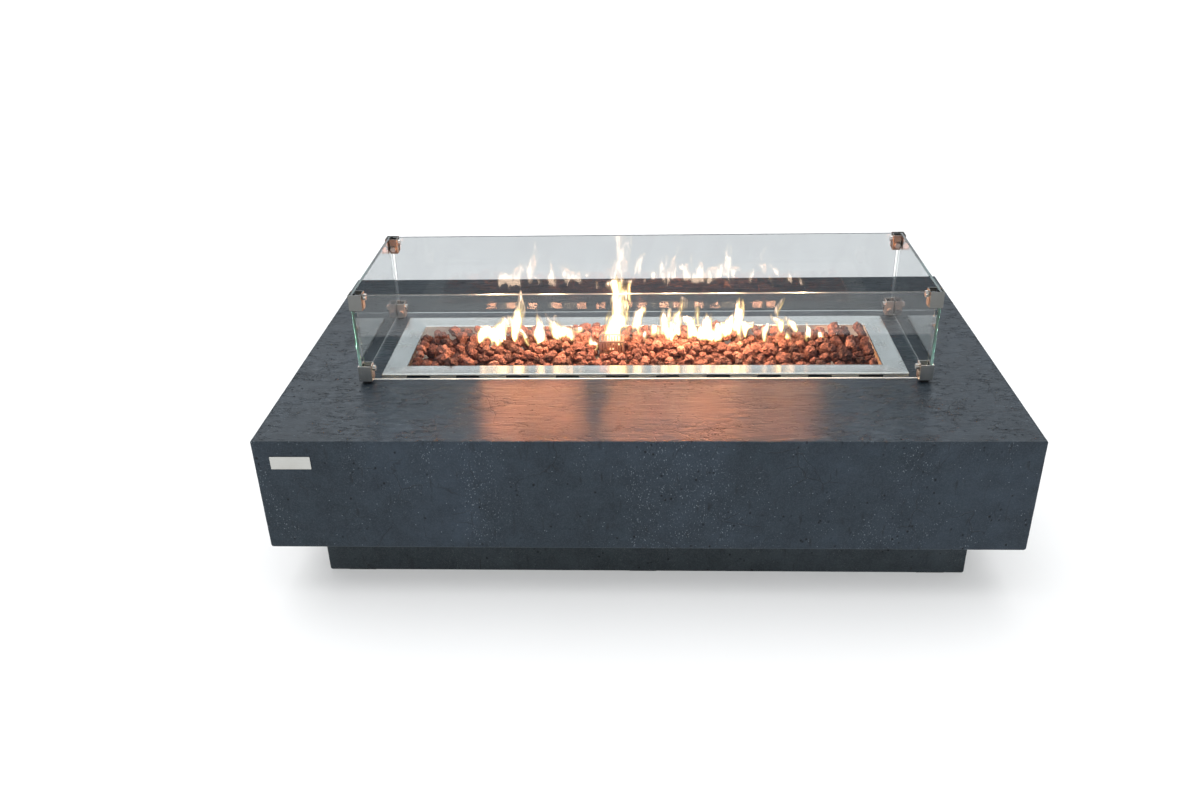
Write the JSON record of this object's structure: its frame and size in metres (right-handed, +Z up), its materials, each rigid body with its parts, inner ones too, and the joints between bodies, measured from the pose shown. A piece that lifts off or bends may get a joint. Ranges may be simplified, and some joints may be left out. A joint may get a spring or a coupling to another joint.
{
  "type": "fire pit table",
  "caption": "Low gas fire pit table: hollow concrete slab on a recessed plinth, stainless burner pan with lava rock, glass wind guard on corner brackets, gas knob and igniter on one end.",
  "frame": {"origin": "on the floor under the middle of the plinth", "axes": "+Z up, +X to the right along the length with the gas control on the +X end, -Y is the front with the blank plate"},
  "size_m": [1.561, 0.8612, 0.5752],
  "materials": {
    "concrete": "satin",
    "concrete_plinth": "matte",
    "cement_board": "matte",
    "stainless_brushed": "satin",
    "stainless_bracket": "satin",
    "stainless_pilot": "satin",
    "zinc_steel": "satin",
    "badge_metal": "satin",
    "brass": "satin",
    "valve_metal": "satin",
    "spring_steel": "satin",
    "hose_rubber": "matte",
    "foot_rubber": "matte",
    "liner_rubber": "matte",
    "lead_sleeve": "matte",
    "copper_lead": "satin",
    "ceramic": "gloss",
    "lava_rock": "matte",
    "clear_glass": "polished",
    "knob_black": "satin",
    "igniter_black": "satin",
    "battery_skin": "gloss"
  },
  "bodies": {
    "root": {"table_shell": "concrete", "base_plinth": "concrete_plinth", "underside_board": "cement_board", "shell_angles": "zinc_steel", "shell_angle_bolts": "zinc_steel", "plinth_angles": "zinc_steel", "plinth_angle_bolts": "zinc_steel", "floor_pads": "foot_rubber", "badge_plate": "badge_metal", "burner_pan": "stainless_brushed", "burner_tube": "stainless_pilot", "burner_saddles": "stainless_pilot", "feed_lock_nut": "zinc_steel", "air_mixer": "brass", "feed_elbow": "brass", "heat_shield": "zinc_steel", "shield_standoffs": "zinc_steel", "shield_screws": "zinc_steel", "pilot_guard": "stainless_pilot", "pilot_bracket": "stainless_pilot", "pilot_hood": "brass", "electrode_insulator": "ceramic", "electrode_pin": "spring_steel", "thermocouple_probe": "copper_lead", "control_panel": "stainless_brushed", "panel_screws": "stainless_bracket", "gas_valve": "valve_metal", "valve_nut": "zinc_steel", "valve_spring": "spring_steel", "igniter_housing": "igniter_black", "igniter_nut": "igniter_black", "igniter_battery": "battery_skin", "igniter_spring": "spring_steel", "gas_inlet": "brass", "inlet_nut": "brass", "inlet_elbow": "brass", "gas_hose": "hose_rubber", "hose_clips": "zinc_steel", "burner_connector": "valve_metal", "pilot_tube": "valve_metal", "thermocouple_lead": "copper_lead", "igniter_lead": "lead_sleeve", "lava_rock_bed": "lava_rock"},
    "valve_push": {"valve_plunger": "brass"},
    "knob": {"control_knob": "knob_black", "valve_stem": "brass"},
    "igniter_button": {"igniter_button": "igniter_black"},
    "glass_guard": {"glass_front": "clear_glass", "glass_back": "clear_glass", "glass_left": "clear_glass", "glass_right": "clear_glass", "guard_lower_brackets": "stainless_bracket", "guard_upper_brackets": "stainless_bracket", "guard_liners": "liner_rubber", "guard_clamp_screws": "stainless_bracket", "guard_clamp_pads": "liner_rubber", "guard_feet": "foot_rubber"}
  },
  "joints": [
    {"name": "knob_push", "type": "slide", "parent": "root", "child": "valve_push", "axis": [-1, 0, 0], "range_m": [0, 0.005], "stiffness_N_per_m": 1500, "springref_m": -0.003, "deforming": ["valve_spring"]},
    {"name": "knob_turn", "type": "hinge", "parent": "valve_push", "child": "knob", "pos_m": [0.786, 0.045, 0.245], "axis": [1, 0, 0], "range_deg": [0, 180]},
    {"name": "igniter_push", "type": "slide", "parent": "root", "child": "igniter_button", "axis": [-1, 0, 0], "range_m": [0, 0.004], "stiffness_N_per_m": 900, "springref_m": -0.002, "deforming": ["igniter_spring"]},
    {"name": "guard_lift", "type": "slide", "parent": "root", "child": "glass_guard", "axis": [0, 0, 1], "range_m": [0, 0.25]}
  ]
}
